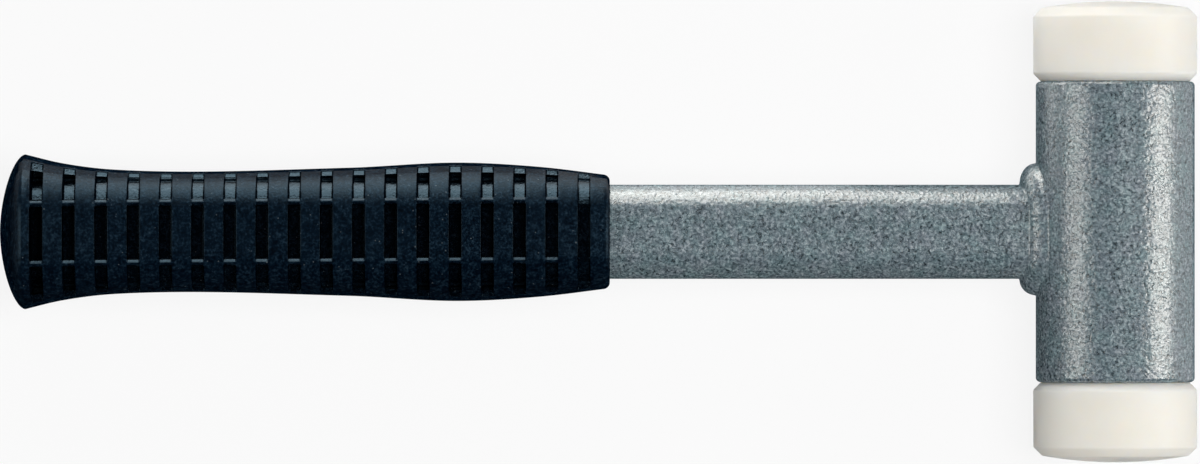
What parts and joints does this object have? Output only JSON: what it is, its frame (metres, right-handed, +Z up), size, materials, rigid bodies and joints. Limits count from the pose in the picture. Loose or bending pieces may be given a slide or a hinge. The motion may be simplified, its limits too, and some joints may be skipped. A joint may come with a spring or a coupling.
{
  "type": "soft-faced hammer",
  "caption": "Soft-faced dead-blow hammer: round steel head with a nylon face at each end and loose shot inside, flat-oval tube handle, windowed rubber grip.",
  "frame": {"origin": "under the middle of the hammer's bounding box, on the surface that it lies on", "axes": "+X from the butt of the grip to the head, +Y along the head from the lower face to the upper face, +Z up from the surface"},
  "size_m": [0.2924, 0.1126, 0.04],
  "materials": {
    "hammertone_paint": "semi-gloss hammertone paint, blue-green grey with a fine dark crackle",
    "nylon": "natural cream nylon, turned, satin",
    "grip_rubber": "matt moulded rubber, bluish black",
    "bare_steel": "bare steel"
  },
  "bodies": {
    "hammer": {"head_tube": "hammertone_paint", "handle_tube": "hammertone_paint", "handle_weld_bead": "hammertone_paint", "upper_face_insert": "nylon", "lower_face_insert": "nylon", "upper_closing_disc": "bare_steel", "lower_closing_disc": "bare_steel", "grip": "grip_rubber"},
    "shot_charge": {"shot_ball_01": "bare_steel", "shot_ball_02": "bare_steel", "shot_ball_03": "bare_steel", "shot_ball_04": "bare_steel", "shot_ball_05": "bare_steel", "shot_ball_06": "bare_steel", "shot_ball_07": "bare_steel", "shot_ball_08": "bare_steel", "shot_ball_09": "bare_steel", "shot_ball_10": "bare_steel", "shot_ball_11": "bare_steel", "shot_ball_12": "bare_steel", "shot_ball_13": "bare_steel", "shot_ball_14": "bare_steel", "shot_ball_15": "bare_steel", "shot_ball_16": "bare_steel", "shot_ball_17": "bare_steel", "shot_ball_18": "bare_steel", "shot_ball_19": "bare_steel", "shot_ball_20": "bare_steel", "shot_ball_21": "bare_steel", "shot_ball_22": "bare_steel", "shot_ball_23": "bare_steel", "shot_ball_24": "bare_steel", "shot_ball_25": "bare_steel", "shot_ball_26": "bare_steel", "shot_ball_27": "bare_steel", "shot_ball_28": "bare_steel", "shot_ball_29": "bare_steel", "shot_ball_30": "bare_steel", "shot_ball_31": "bare_steel", "shot_ball_32": "bare_steel", "shot_ball_33": "bare_steel", "shot_ball_34": "bare_steel", "shot_ball_35": "bare_steel", "shot_ball_36": "bare_steel", "shot_ball_37": "bare_steel", "shot_ball_38": "bare_steel", "shot_ball_39": "bare_steel", "shot_ball_40": "bare_steel", "shot_ball_41": "bare_steel", "shot_ball_42": "bare_steel"}
  },
  "joints": [
    {"name": "shot_slide", "type": "slide", "parent": "hammer", "child": "shot_charge", "axis": [0, 1, 0], "range_m": [0, 0.0254]}
  ]
}
